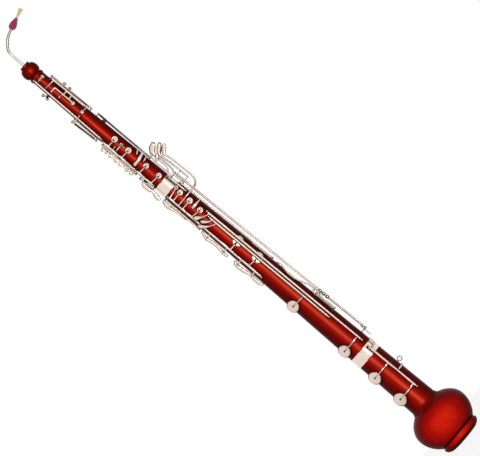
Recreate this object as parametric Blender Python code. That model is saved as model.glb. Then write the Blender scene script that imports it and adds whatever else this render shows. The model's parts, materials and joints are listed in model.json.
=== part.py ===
"""A heckelphone: a bass oboe about 1.2 m long, with a bent crook, a turned wooden body in three joints
and a bulb-shaped bell. It stands upright on its bell foot, the front with the finger keys faces -Y.

Places on a joint are given as a drop from that joint's top end, a turn round the body in degrees
(0 is the front, positive towards +X) and a height above the wood.
"""
import math
from collections import namedtuple

import bmesh
import bpy
from mathutils import Matrix, Vector

MM = 0.001

# Body
TOP_LENGTH = 380.3 * MM
LOWER_LENGTH = 550.3 * MM
BELL_LENGTH = 289.4 * MM
TUBE_TOP_RADIUS = 15.4 * MM
TUBE_FOOT_RADIUS = 33.4 * MM
CROWN_HEIGHT = 44.0 * MM
LIP_RADIUS = 12.0 * MM
LIP_HEIGHT = 5.0 * MM
CROWN_RADIUS = 20.0 * MM
WAIST_RADIUS = 13.8 * MM
BEAD_RADIUS = 17.3 * MM
BULB_RADIUS = 69.7 * MM
BULB_TOP = 116.7 * MM
BULB_WIDEST = 66.5 * MM
BULB_FOOT = 20.0 * MM
BULB_WALL = 10.0 * MM
RIM_RADIUS = 49.8 * MM
FOOT_RADIUS = 27.0 * MM
MOUTH_RADIUS = 19.0 * MM
BULB_OPENING = 42.0 * MM
BORE_TOP_RADIUS = 4.8 * MM
BORE_FOOT_RADIUS = 14.5 * MM
TURN_SIDES = 28

# Tenons, sockets and bands
TENON_LENGTH = 24.0 * MM
TENON_PLAY = 0.3 * MM
CORK_DEPTH = 1.2 * MM
CORK_MARGIN = 4.0 * MM
TOP_TENON_RADIUS = 12.6 * MM
LOWER_TENON_RADIUS = 20.0 * MM
MIDDLE_BAND = 27.4 * MM
LOWER_BAND = 25.4 * MM
BAND_PROUD = 0.9 * MM
BAND_WALL = 1.5 * MM
CORK_RADIUS_PLAY = 0.25 * MM

# Crook and reed
CROOK_SOCKET_DEPTH = 22.0 * MM
CROOK_SOCKET_RADIUS = 6.4 * MM
CROOK_CORK_WALL = 2.2 * MM
CROOK_RADIUS = 3.7 * MM
CROOK_TIP_RADIUS = 2.7 * MM
CROOK_WALL = 1.0 * MM
BINDING_RADIUS = 8.6 * MM
BINDING_LENGTH = 21.0 * MM
BLADE_LENGTH = 22.0 * MM
BLADE_WIDTH = 9.5 * MM
BLADE_NECK = 4.6 * MM
BLADE_TIP_THICKNESS = 1.6 * MM

# Key work
GAP = 0.3 * MM
ROD_RADIUS = 1.25 * MM
TUBE_BORE = 1.6 * MM
TUBE_RADIUS = 2.35 * MM
ROD_HEIGHT = 5.6 * MM
FRONT_ROD_HEIGHT = 10.2 * MM
POST_BALL = 2.9 * MM
POST_STEM = 1.3 * MM
POST_FOOT = 2.5 * MM
ARM_WIDTH = 2.6 * MM
ARM_DEPTH = 1.7 * MM
ARM_ROOT = 1.9 * MM
SEAT_HEIGHT = 1.2 * MM
PAD_DEPTH = 1.0 * MM
CUP_DEPTH = 2.2 * MM
DISH_DEPTH = 1.6 * MM
OPEN_LIFT = 1.9 * MM
LOW_SEAT = 5.0 * MM
LOW_LIFT = 2.2 * MM
RIM_SHARE = 0.72
RIM_ROOT = 3.0 * MM
HOLE_SHARE = 0.66
DRILL_REACH = 2.0 * MM

WHOLE_LENGTH = TOP_LENGTH + LOWER_LENGTH + BELL_LENGTH


def clear_scene():
    for thing in list(bpy.data.objects):
        bpy.data.objects.remove(thing, do_unlink=True)


def material(name, colour, metallic, roughness):
    made = bpy.data.materials.new(name)
    made.use_nodes = True
    shader = made.node_tree.nodes["Principled BSDF"]
    shader.inputs["Base Color"].default_value = (*colour, 1.0)
    shader.inputs["Metallic"].default_value = metallic
    shader.inputs["Roughness"].default_value = roughness
    return made


clear_scene()
WOOD = material("stained_wood", (0.30, 0.02, 0.012), 0.0, 0.25)
SILVER = material("silvered_keys", (0.86, 0.80, 0.74), 1.0, 0.22)
STEEL = material("steel_rods", (0.62, 0.62, 0.64), 1.0, 0.30)
BAND = material("silver_band", (0.88, 0.82, 0.74), 1.0, 0.20)
CROOK = material("silvered_crook", (0.80, 0.80, 0.80), 1.0, 0.18)
CORK = material("cork", (0.62, 0.42, 0.25), 0.0, 0.9)
THREAD = material("crimson_thread", (0.60, 0.03, 0.16), 0.0, 0.8)
CANE = material("cane", (0.85, 0.72, 0.42), 0.0, 0.55)


def reed_reach():
    """How far the reed's tip stands out from the body's axis."""
    tip = CROOK_ROUTE[-1]
    way = (tip - CROOK_ROUTE[-2]).normalized()
    across = Vector((way.z, 0, -way.x))
    ends = [tip + way * (BINDING_LENGTH + BLADE_LENGTH) + across * side * BLADE_WIDTH / 2
            for side in (-1, 1)]
    return max(end.x for end in ends)


# The crook's middle line, as offsets from the body's axis (X) and from the crown's top (Z).
CROOK_ROUTE = [Vector((x * MM, 0, z * MM)) for x, z in
               ((0, -21), (0, 0), (0, 20), (0.4, 34), (3, 45), (9.5, 53), (21, 62.5), (34, 68), (46.5, 71.2))]
AXIS_X = (BULB_RADIUS - reed_reach()) / 2


def body_radius(z):
    """The tube's outer radius at a height, a straight taper from the crown to the bulb."""
    top = WHOLE_LENGTH - CROWN_HEIGHT
    share = (top - z) / (top - BULB_TOP)
    return TUBE_TOP_RADIUS + (TUBE_FOOT_RADIUS - TUBE_TOP_RADIUS) * share


def bore_radius(z):
    """The bore's radius at a height, from the crook's socket to the bulb."""
    share = (WHOLE_LENGTH - CROOK_SOCKET_DEPTH - z) / (WHOLE_LENGTH - CROOK_SOCKET_DEPTH - BULB_TOP)
    return BORE_TOP_RADIUS + (BORE_FOOT_RADIUS - BORE_TOP_RADIUS) * share


def outward(turn):
    angle = math.radians(turn)
    return Vector((math.sin(angle), -math.cos(angle), 0))


class Joint:
    """One turned length of the body.

    Places on it are given as they lie at its drawn length. Past its head, which keeps its size, they
    spread out or close up with its real length.
    """

    def __init__(self, top_z, length, drawn, head):
        self.top_z = top_z
        self.head = head
        self.spread = (length - head) / (drawn - head) - 1

    def sink(self, drop):
        """How far below the joint's top a place really lies."""
        return drop + max(0.0, drop - self.head) * self.spread

    def at(self, drop, turn, height=0.0):
        z = self.top_z - self.sink(drop)
        return Vector((AXIS_X, 0, z)) + outward(turn) * (body_radius(z) + height)

    def stops(self, *places):
        """Points from (drop, turn, height) in millimetres and degrees."""
        return [self.at(drop * MM, turn, height * MM) for drop, turn, height in places]

    def spots(self, *places):
        """Points from (drop, across, forward) in millimetres: across to +X, forward to the front."""
        return [Vector((AXIS_X + across * MM, -forward * MM, self.top_z - self.sink(drop * MM)))
                for drop, across, forward in places]


TOP = Joint(WHOLE_LENGTH, TOP_LENGTH, 380.3 * MM, CROWN_HEIGHT)
LOWER = Joint(WHOLE_LENGTH - TOP_LENGTH, LOWER_LENGTH, 550.3 * MM, MIDDLE_BAND)
BELL = Joint(BELL_LENGTH, BELL_LENGTH, BELL_LENGTH, LOWER_BAND)


# Shapes

def make_object(name, bm, look):
    bmesh.ops.recalc_face_normals(bm, faces=bm.faces)
    mesh = bpy.data.meshes.new(name)
    bm.to_mesh(mesh)
    bm.free()
    mesh.materials.append(look)
    mesh.shade_smooth()
    mesh.set_sharp_from_angle(angle=math.radians(35))
    made = bpy.data.objects.new(name, mesh)
    bpy.context.scene.collection.objects.link(made)
    return made


def combine(base, others, operation):
    """Boolean of each of the others with the base, applied, with the others removed."""
    for other in others:
        modifier = base.modifiers.new("cut", "BOOLEAN")
        modifier.operation = operation
        modifier.solver = "EXACT"
        modifier.object = other
    graph = bpy.context.evaluated_depsgraph_get()
    mesh = bpy.data.meshes.new_from_object(base.evaluated_get(graph))
    base.modifiers.clear()
    old = base.data
    base.data = mesh
    bpy.data.meshes.remove(old)
    for other in others:
        data = other.data
        bpy.data.objects.remove(other, do_unlink=True)
        bpy.data.meshes.remove(data)
    return base


def fuse(name, pieces, look):
    """One solid out of overlapping closed shapes."""
    base = make_object(name, pieces[0], look)
    others = [make_object("piece", piece, look) for piece in pieces[1:]]
    if others:
        combine(base, others, "UNION")
    base.data.name = name
    tidy = bmesh.new()
    tidy.from_mesh(base.data)
    bmesh.ops.remove_doubles(tidy, verts=tidy.verts, dist=2e-6)
    bmesh.ops.dissolve_degenerate(tidy, edges=tidy.edges, dist=1e-6)
    tidy.to_mesh(base.data)
    tidy.free()
    base.data.shade_smooth()
    base.data.set_sharp_from_angle(angle=math.radians(35))
    return base


def rings_to_solid(rings, closed=False):
    """A skin over rings of points, capped at both ends, or joined end to end where closed."""
    bm = bmesh.new()
    rows = [[bm.verts.new(point) for point in ring] for ring in rings]
    count = len(rows[0])
    pairs = list(zip(rows, rows[1:]))
    if closed:
        pairs.append((rows[-1], rows[0]))
    for low, high in pairs:
        for i in range(count):
            j = (i + 1) % count
            bm.faces.new((low[i], low[j], high[j], high[i]))
    if not closed:
        bm.faces.new(rows[0])
        bm.faces.new(rows[-1])
    return bm


def circle(centre, first, second, radius, sides, phase=0.0):
    ring = []
    for i in range(sides):
        angle = 2 * math.pi * (i + phase) / sides
        ring.append(centre + (first * math.cos(angle) + second * math.sin(angle)) * radius)
    return ring


def square_axes(way):
    helper = Vector((0, 0, 1)) if abs(way.z) < 0.9 else Vector((0, 1, 0))
    first = way.cross(helper).normalized()
    return first, way.cross(first).normalized()


def turned(profile, sides=TURN_SIDES):
    """A ring-shaped solid: a closed outline of (radius, height) turned round the body's axis."""
    rings = [circle(Vector((AXIS_X, 0, z)), Vector((1, 0, 0)), Vector((0, 1, 0)), radius, sides)
             for radius, z in profile]
    return rings_to_solid(rings, closed=True)


def spun(foot, way, profile, sides):
    """A solid of revolution: (radius, distance) pairs along a way from its foot."""
    first, second = square_axes(way)
    rings = [circle(foot + way * distance, first, second, radius, sides)
             for radius, distance in profile]
    return rings_to_solid(rings)


def hollow(start, end, radius, bore, sides=8):
    """A straight tube."""
    way = (end - start).normalized()
    first, second = square_axes(way)
    rings = [circle(start, first, second, bore, sides), circle(start, first, second, radius, sides),
             circle(end, first, second, radius, sides), circle(end, first, second, bore, sides)]
    return rings_to_solid(rings, closed=True)


def solid_rod(start, end, radius, sides=8):
    way = (end - start).normalized()
    return spun(start, way, ((radius, 0), (radius, (end - start).length)), sides)


def curve_through(points, steps):
    """A smooth line through points (Catmull-Rom)."""
    line = []
    padded = [points[0] * 2 - points[1], *points, points[-1] * 2 - points[-2]]
    for a, b, c, d in zip(padded, padded[1:], padded[2:], padded[3:]):
        for i in range(steps):
            t = i / steps
            line.append(0.5 * ((2 * b) + (c - a) * t + (2 * a - 5 * b + 4 * c - d) * t * t
                               + (3 * b - a - 3 * c + d) * t ** 3))
    line.append(points[-1].copy())
    return line


def spread(values, count):
    """Values read evenly along a list, by straight steps."""
    out = []
    for i in range(count):
        place = i / (count - 1) * (len(values) - 1)
        low = min(int(place), len(values) - 2)
        out.append(values[low] + (values[low + 1] - values[low]) * (place - low))
    return out


def sweep(points, widths, depths, steps=2, face=None):
    """A bar with chamfered sides along a smooth line, its flat side facing out from the body or one way."""
    line = curve_through(points, 1 if len(points) == 2 else steps)
    widths = spread(widths, len(line))
    depths = spread(depths, len(line))
    rings = []
    for i, point in enumerate(line):
        way = (line[min(i + 1, len(line) - 1)] - line[max(i - 1, 0)]).normalized()
        up = face or Vector((point.x - AXIS_X, point.y, 0)).normalized()
        up = (up - way * up.dot(way)).normalized()
        side = way.cross(up)
        w = widths[i] / 2
        d = depths[i] / 2
        rings.append([point + side * w * a + up * d * b for a, b in
                      ((1, 0), (0.6, 1), (-0.6, 1), (-1, 0), (-0.6, -1), (0.6, -1))])
    return rings_to_solid(rings)


# Key work

class Rod:
    """A steel pivot rod between two places on a joint, and what sits on it."""

    def __init__(self, joint, drops, turns, heights=(ROD_HEIGHT, ROD_HEIGHT)):
        self.joint = joint
        self.drops = [drop * MM for drop in drops]
        self.start = joint.at(self.drops[0], turns[0], heights[0])
        self.end = joint.at(self.drops[1], turns[1], heights[1])
        self.way = (self.end - self.start).normalized()

    def at(self, drop):
        first, last = (self.joint.sink(end) for end in self.drops)
        return self.start.lerp(self.end, (self.joint.sink(drop) - first) / (last - first))

    def turn(self, drop):
        point = self.at(drop)
        return math.degrees(math.atan2(point.x - AXIS_X, -point.y))

    def height(self, drop):
        point = self.at(drop)
        return math.hypot(point.x - AXIS_X, point.y) - body_radius(point.z)

    def tube(self, drop, end_drop):
        return hollow(self.at(drop * MM), self.at(end_drop * MM), TUBE_RADIUS, TUBE_BORE)

    def collar(self, drop, radius):
        """A turned knuckle round the tube, which leaves its bore free."""
        way = self.way
        first, second = square_axes(way)
        middle = self.at(drop * MM)
        bore = (TUBE_RADIUS + TUBE_BORE) / 2
        shoulder = radius * 0.6
        marks = ((bore, -0.9), (shoulder, -0.9), (radius, -0.35),
                 (radius, 0.35), (shoulder, 0.9), (bore, 0.9))
        rings = [circle(middle + way * (radius * along), first, second, size, 8, 0.3)
                 for size, along in marks]
        return rings_to_solid(rings, closed=True)

    def root(self, drop, toward):
        """Where an arm that heads for a point leaves the tube, inside its wall."""
        point = self.at(drop)
        way = toward - point
        way = (way - self.way * way.dot(self.way)).normalized()
        return point + way * ARM_ROOT

    def post(self, drop, stand=0.0):
        """A turned post, whose ball holds the rod's end; it stands on the wood or a band."""
        ball = POST_BALL
        height = self.height(drop)
        foot = self.joint.at(drop, self.turn(drop), 0)
        way = outward(self.turn(drop))
        low = GAP + stand
        neck = min(low + 0.9 * MM, height - ball - 0.1 * MM)
        profile = ((POST_FOOT, low), (POST_STEM, neck), (POST_STEM, height - ball),
                   (ball, height), (ball * 0.5, height + ball * 0.9))
        return spun(foot, way, profile, 8)

    def with_posts(self, name, posts, extra=()):
        """The rod through its posts, one solid; a post is a drop, or a drop and how high it stands."""
        pieces = [solid_rod(self.start, self.end, ROD_RADIUS)]
        for post in posts:
            drop, stand = post if isinstance(post, tuple) else (post, 0)
            pieces.append(self.post(drop * MM, stand * MM))
        RODS[name] = self
        return fuse(name, pieces + list(extra), STEEL)

    def arm(self, drop, points, widths=(ARM_WIDTH, ARM_WIDTH), depth=ARM_DEPTH, steps=2, face=None):
        """A bar from the tube through points."""
        line = [self.root(drop * MM, points[0]), *points]
        return sweep(line, widths, (depth, depth), steps, face)


Pad = namedtuple("Pad", "drop turn radius lift seat")


def pad_at(drop, turn, radius, lift=GAP, seat=SEAT_HEIGHT):
    """A tone hole's pad: its place, size, lift over the rim, and the rim's height."""
    return Pad(drop * MM, turn, radius * MM, lift, seat)


def cup(joint, pad, sides=10, dish=0.0):
    """A pad cup with its pad below, facing its tone hole."""
    foot = joint.at(pad.drop, pad.turn, pad.seat + pad.lift)
    top = PAD_DEPTH + CUP_DEPTH
    radius = pad.radius
    profile = [(radius * 0.93, 0), (radius, PAD_DEPTH),
               (radius, top - 0.9 * MM), (radius * 0.82, top)]
    if dish:
        profile += [(radius * dish, top), (radius * dish * 0.8, top - DISH_DEPTH)]
    else:
        profile += [(radius * 0.3, top + 0.4 * MM)]
    return spun(foot, outward(pad.turn), profile, sides)


def pad_arm(rod, root_drop, pad, via=(), end=0.0, width=ARM_WIDTH, depth=ARM_DEPTH):
    """The arm from the tube over a cup, to a share of its radius from its middle."""
    height = pad.seat + pad.lift + PAD_DEPTH + CUP_DEPTH + depth * 0.25
    top = rod.joint.at(pad.drop, pad.turn, height)
    angle = math.radians(pad.turn)
    side = Vector((math.cos(angle), math.sin(angle), 0))
    if rod.turn(root_drop) < pad.turn:
        side = -side
    rim = top + side * (pad.radius + 1.2 * MM)
    root = rod.at(root_drop)
    rim.z = top.z + (root.z - top.z) * 0.3
    points = [*via, rim, top + side * pad.radius * end]
    points.insert(0, rod.root(root_drop, points[0]))
    return sweep(points, (width, width), (depth, depth), 1)


def leaf(points, widths, face, depth=2.0 * MM, steps=2):
    """A spatula: a flat leaf along points whose width follows its length, facing one way."""
    return sweep(points, widths, (depth, depth), steps, face)


def ball(centre, radius, way=Vector((0, 0, 1))):
    """A small turned knob."""
    profile = ((radius * 0.45, -0.9 * radius), (radius, -0.35 * radius), (radius, 0.35 * radius),
               (radius * 0.45, 0.9 * radius))
    return spun(centre, way, profile, 8)


def key(name, rod, drop, pieces):
    """A key: its tube, arms, cups and touches as one solid, with its origin on the rod."""
    made = fuse(name, pieces, SILVER)
    origin = rod.at(drop)
    made.data.transform(Matrix.Translation(-origin))
    made.location = origin
    KEYS[name] = rod
    return made


KEYS = {}
RODS = {}


# Body

def arc(centre_r, centre_z, half_r, half_z, start, stop, count):
    """Points (radius, height) on an ellipse arc; 0 degrees points outwards, 90 up."""
    points = []
    for i in range(count):
        angle = math.radians(start + (stop - start) * i / (count - 1))
        points.append((centre_r + half_r * math.cos(angle), centre_z + half_z * math.sin(angle)))
    return points


def crown_profile():
    """The turned lip, bulb and bead at the top of the body."""
    top = WHOLE_LENGTH
    bulb_z = top - CROWN_HEIGHT * 0.43
    bead_z = top - CROWN_HEIGHT * 0.82
    rise = top - LIP_HEIGHT - bulb_z
    fall = bulb_z - bead_z - 5.4 * MM
    points = [(LIP_RADIUS - 1.0 * MM, top), (LIP_RADIUS, top - 1.0 * MM), (LIP_RADIUS, top - LIP_HEIGHT)]
    points += arc(LIP_RADIUS, bulb_z, CROWN_RADIUS - LIP_RADIUS, rise, 80, 0, 5)
    points += arc(WAIST_RADIUS, bulb_z, CROWN_RADIUS - WAIST_RADIUS, fall, -25, -90, 4)
    points += arc(WAIST_RADIUS, bead_z, BEAD_RADIUS - WAIST_RADIUS, 5.4 * MM, 60, -60, 5)
    return points


def tenon_profile(shoulder_z, radius, bore):
    """A tenon with a groove for its cork, from the shoulder down and back up inside to its bore."""
    end = shoulder_z - TENON_LENGTH
    groove = radius - CORK_DEPTH
    return [(radius, shoulder_z), (radius, shoulder_z - CORK_MARGIN),
            (groove, shoulder_z - CORK_MARGIN), (groove, end + CORK_MARGIN),
            (radius, end + CORK_MARGIN), (radius, end), (bore, end)]


def band_step(top_z, length):
    """The outside of a joint's upper end, turned down for its metal band."""
    sink = BAND_WALL - BAND_PROUD + GAP
    return [(body_radius(top_z) - sink, top_z), (body_radius(top_z - length) - sink, top_z - length),
            (body_radius(top_z - length), top_z - length)]


def seats(joint, pads):
    """The raised rims of a joint's tone holes, and the drills through them into the bore."""
    rims = []
    drills = []
    for pad in pads:
        foot = joint.at(pad.drop, pad.turn)
        way = outward(pad.turn)
        wall = body_radius(foot.z) - bore_radius(foot.z)
        rim = pad.radius * RIM_SHARE
        root = min(wall * 0.6, RIM_ROOT)
        rims.append(make_object("rim", spun(foot - way * root, way,
                                            ((rim, 0), (rim, root + pad.seat)), 8), WOOD))
        hole = min(rim * HOLE_SHARE, bore_radius(foot.z) * 0.9)
        drills.append(make_object("drill", spun(foot - way * (wall + DRILL_REACH), way,
                                                ((hole, 0), (hole, wall + DRILL_REACH * 2 + pad.seat)), 8),
                                  WOOD))
    return rims, drills


def wooden(name, profile, joint, pads):
    base = make_object(name, turned(profile), WOOD)
    rims, drills = seats(joint, pads)
    combine(base, rims, "UNION")
    combine(base, drills, "DIFFERENCE")
    base.data.name = name
    base.data.shade_smooth()
    base.data.set_sharp_from_angle(angle=math.radians(35))
    return base


def top_joint():
    low = WHOLE_LENGTH - TOP_LENGTH
    socket = WHOLE_LENGTH - CROOK_SOCKET_DEPTH
    profile = [(CROOK_SOCKET_RADIUS, WHOLE_LENGTH)] + crown_profile()
    profile += [(body_radius(WHOLE_LENGTH - CROWN_HEIGHT), WHOLE_LENGTH - CROWN_HEIGHT),
                (body_radius(low), low)]
    profile += tenon_profile(low, TOP_TENON_RADIUS, bore_radius(low - TENON_LENGTH))
    profile += [(bore_radius(socket), socket), (CROOK_SOCKET_RADIUS, socket)]
    return wooden("top_joint", profile, TOP, TOP_HOLES)


def lower_joint():
    top = LOWER.top_z
    low = top - LOWER_LENGTH
    floor = top - TENON_LENGTH - TENON_PLAY
    profile = [(TOP_TENON_RADIUS + TENON_PLAY, top)] + band_step(top, MIDDLE_BAND)
    profile += [(body_radius(low), low)]
    profile += tenon_profile(low, LOWER_TENON_RADIUS, bore_radius(low - TENON_LENGTH))
    profile += [(bore_radius(floor), floor), (TOP_TENON_RADIUS + TENON_PLAY, floor)]
    return wooden("lower_joint", profile, LOWER, LOWER_HOLES)


def bell():
    """The bell joint: socket, tube and bulb, open below, where the foot rim goes in."""
    top = BELL.top_z
    floor = top - TENON_LENGTH - TENON_PLAY
    socket = LOWER_TENON_RADIUS + TENON_PLAY
    profile = [(socket, top)] + band_step(top, LOWER_BAND)
    profile += [(TUBE_FOOT_RADIUS, BULB_TOP)]
    upper = arc(0, BULB_WIDEST, BULB_RADIUS, BULB_TOP - BULB_WIDEST, 58, 0, 7)
    lower = arc(0, BULB_WIDEST, BULB_RADIUS, (BULB_WIDEST - BULB_FOOT) * 1.4, -8, -46, 5)
    profile += [point for point in upper if point[0] > TUBE_FOOT_RADIUS] + lower
    profile += [(RIM_RADIUS - 1.8 * MM, BULB_FOOT), (BULB_OPENING, BULB_FOOT)]
    inner = BULB_RADIUS - BULB_WALL
    profile += arc(0, BULB_WIDEST, inner, BULB_WIDEST - BULB_FOOT * 0.95, -44, -5, 4)
    profile += arc(0, BULB_WIDEST, inner, BULB_TOP - BULB_WIDEST - BULB_WALL * 0.4, 10, 66, 5)
    profile += [(BORE_FOOT_RADIUS, BULB_TOP + 6 * MM), (bore_radius(floor), floor), (socket, floor)]
    return wooden("bell", profile, BELL, BELL_HOLES)


def bell_rim():
    """The turned ring that closes the bulb round the mouth, and that the instrument stands on."""
    top = BULB_FOOT - GAP
    profile = [(MOUTH_RADIUS, BULB_FOOT * 0.7), (MOUTH_RADIUS + 4 * MM, top), (RIM_RADIUS - 1.8 * MM, top)]
    profile += arc(RIM_RADIUS - 6 * MM, top - 6 * MM, 6 * MM, 5 * MM, 60, 0, 2)
    profile += arc(FOOT_RADIUS, BULB_FOOT - 7 * MM, RIM_RADIUS - FOOT_RADIUS - 0.5 * MM,
                   BULB_FOOT - 7 * MM, -25, -90, 4)
    profile += [(MOUTH_RADIUS, 0)]
    return make_object("bell_rim", turned(profile), WOOD)


def band(name, top_z, length):
    """A metal band let into the wood round a socket."""
    low = top_z - length + GAP
    high = top_z - GAP
    inner = BAND_PROUD - BAND_WALL
    profile = [(body_radius(high) + inner, high), (body_radius(high) + BAND_PROUD, high),
               (body_radius(low) + BAND_PROUD, low), (body_radius(low) + inner, low)]
    made = make_object(name, turned(profile), BAND)
    return made


def tenon_cork(name, shoulder_z, radius):
    """The cork sleeve in a tenon's groove."""
    high = shoulder_z - CORK_MARGIN - GAP
    low = shoulder_z - TENON_LENGTH + CORK_MARGIN + GAP
    inner = radius - CORK_DEPTH + GAP / 2
    outer = radius + TENON_PLAY / 2
    return make_object(name, turned([(inner, high), (outer, high), (outer, low), (inner, low)]), CORK)


def crook():
    """The bent metal crook with its bore, from the crown's socket to the reed."""
    line = curve_through(CROOK_ROUTE, 2)
    outer = []
    inner = []
    for i, point in enumerate(line):
        way = (line[min(i + 1, len(line) - 1)] - line[max(i - 1, 0)]).normalized()
        first = Vector((0, 1, 0))
        second = way.cross(first)
        share = i / (len(line) - 1)
        radius = CROOK_RADIUS + (CROOK_TIP_RADIUS - CROOK_RADIUS) * share
        centre = point + Vector((AXIS_X, 0, WHOLE_LENGTH))
        outer.append(circle(centre, first, second, radius, 8))
        inner.append(circle(centre, first, second, radius - CROOK_WALL, 8))
    return make_object("crook", rings_to_solid(outer + inner[::-1], closed=True), CROOK)


def crook_cork():
    top = WHOLE_LENGTH - 1.0 * MM
    low = WHOLE_LENGTH - CROOK_SOCKET_DEPTH + 3.5 * MM
    inner = CROOK_RADIUS + GAP / 2
    outer = CROOK_SOCKET_RADIUS - GAP
    profile = [(inner, top), (outer, top), (outer - 0.3 * MM, low), (inner, low)]
    return make_object("crook_cork", turned(profile, 20), CORK)


def reed_place():
    tip = CROOK_ROUTE[-1] + Vector((AXIS_X, 0, WHOLE_LENGTH))
    way = (CROOK_ROUTE[-1] - CROOK_ROUTE[-2]).normalized()
    return tip, way


def reed_binding():
    """The tied, thread-wound butt of the reed, which pushes over the crook's tip."""
    tip, way = reed_place()
    first, second = square_axes(way)
    foot = tip - way * 6 * MM
    bore = CROOK_TIP_RADIUS + 0.35 * MM
    length = BINDING_LENGTH + 6 * MM
    profile = ((bore, 0), (BINDING_RADIUS * 0.55, 0), (BINDING_RADIUS * 0.9, length * 0.14),
               (BINDING_RADIUS, length * 0.32), (BINDING_RADIUS * 0.85, length * 0.55),
               (BINDING_RADIUS * 0.5, length * 0.85), (BLADE_NECK * 0.62, length),
               (1.6 * MM, length), (1.6 * MM, length * 0.4), (bore, length * 0.3))
    rings = [circle(foot + way * z, first, second, r, 14) for r, z in profile]
    return make_object("reed_binding", rings_to_solid(rings, closed=True), THREAD)


def reed_blades():
    """Two cane blades, round at the neck, flat and flared at the tip, with the slit between them."""
    tip, way = reed_place()
    across = Vector((way.z, 0, -way.x))
    face = Vector((0, 1, 0))
    foot = tip + way * (BINDING_LENGTH + GAP)
    rings = []
    inner = []
    for i in range(5):
        t = i / 4
        width = BLADE_NECK + (BLADE_WIDTH - BLADE_NECK) * t ** 1.4
        deep = BLADE_NECK * (1 - t) + BLADE_TIP_THICKNESS * t
        centre = foot + way * (BLADE_LENGTH - GAP) * t
        rings.append([centre + across * math.cos(a) * width / 2 + face * math.sin(a) * deep / 2
                      for a in (2 * math.pi * k / 12 for k in range(12))])
        inner.append([centre + across * math.cos(a) * (width / 2 - 0.7 * MM)
                      + face * math.sin(a) * (deep / 2 - 0.55 * MM)
                      for a in (2 * math.pi * k / 12 for k in range(12))])
    return make_object("reed_blades", rings_to_solid(rings + inner[::-1], closed=True), CANE)


def strap_ring():
    """A ring on a stem at the bell joint's right side."""
    foot = BELL.at(RING_DROP, 90, GAP)
    out = outward(90)
    centre = foot + out * (RING_STEM + RING_RADIUS)
    down = Vector((0, 0, -1))
    side = Vector((0, 1, 0))
    rings = []
    for i in range(16):
        angle = 2 * math.pi * i / 16
        spoke = out * math.cos(angle) + down * math.sin(angle)
        rings.append(circle(centre + spoke * RING_RADIUS, spoke, side, RING_WIRE, 6))
    stem = spun(foot, out, ((2.6 * MM, 0), (2.6 * MM, 0.9 * MM), (1.5 * MM, 1.4 * MM),
                            (1.5 * MM, RING_STEM + 0.6 * MM)), 8)
    return fuse("strap_ring", [rings_to_solid(rings, closed=True), stem], SILVER)


RING_DROP = 75.2 * MM
RING_STEM = 1.6 * MM
RING_RADIUS = 5.0 * MM
RING_WIRE = 1.3 * MM

# Tone holes and their pads: drop from the joint's top and turn, then the pad's radius
OCTAVE_UPPER_PAD = pad_at(46.0, 19, 4.9)
UPPER_VENT_PAD = pad_at(67.2, -14, 2.9)
TRILL_PAD = pad_at(131.0, 16.5, 5.0)
OCTAVE_LOWER_PAD = pad_at(158.3, 13, 4.7)
LEFT_INDEX_PAD = pad_at(247.8, 10.2, 7.6, OPEN_LIFT)
INDEX_VENT_PAD = pad_at(266.2, 10.1, 4.6)
LEFT_MIDDLE_PAD = pad_at(285.2, 11.4, 7.4, OPEN_LIFT)
LEFT_RING_PAD = pad_at(334.8, 9.6, 7.0, OPEN_LIFT)
LOW_RING_PAD = pad_at(368.6, 12.7, 7.0, OPEN_LIFT)
RIGHT_SIDE_PAD = pad_at(205.0, 122, 5.5)
LEFT_SIDE_PAD = pad_at(280.0, -105, 5.5)
ARCH_PAD = pad_at(205.0, -128, 6.0)
PADDLE_PAD = pad_at(355.0, -108, 5.5)
SMALL_INDEX_PAD = pad_at(32.0, 21.8, 5.2, OPEN_LIFT)
RIGHT_INDEX_PAD = pad_at(45.4, 16, 7.2, OPEN_LIFT)
RIGHT_MIDDLE_PAD = pad_at(71.8, 15.7, 7.6, OPEN_LIFT)
RIGHT_RING_PAD = pad_at(101.4, 13.2, 7.2, OPEN_LIFT)
UPPER_SIDE_PAD = pad_at(204.5, 16.3, 12.7)
LOWER_SIDE_PAD = pad_at(258.7, 15.8, 13.2)
LOW_C_PAD = pad_at(382.3, -38, 14.8, LOW_LIFT, LOW_SEAT)
LOW_C_SHARP_PAD = pad_at(526.0, -40, 15.2, LOW_LIFT, LOW_SEAT)
LOW_B_PAD = pad_at(61.2, -42, 15.8, LOW_LIFT, LOW_SEAT)
LOW_B_FLAT_PAD = pad_at(131.0, -40, 16.4, LOW_LIFT, LOW_SEAT)
TOP_HOLES = [OCTAVE_UPPER_PAD, UPPER_VENT_PAD, TRILL_PAD, OCTAVE_LOWER_PAD, LEFT_INDEX_PAD, INDEX_VENT_PAD,
             LEFT_MIDDLE_PAD, LEFT_RING_PAD, LOW_RING_PAD, RIGHT_SIDE_PAD, LEFT_SIDE_PAD, ARCH_PAD,
             PADDLE_PAD]
LOWER_HOLES = [SMALL_INDEX_PAD, RIGHT_INDEX_PAD, RIGHT_MIDDLE_PAD, RIGHT_RING_PAD, UPPER_SIDE_PAD,
               LOWER_SIDE_PAD, LOW_C_PAD, LOW_C_SHARP_PAD]
BELL_HOLES = [LOW_B_PAD, LOW_B_FLAT_PAD]

FRONT = Vector((0, -1, 0))

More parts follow.
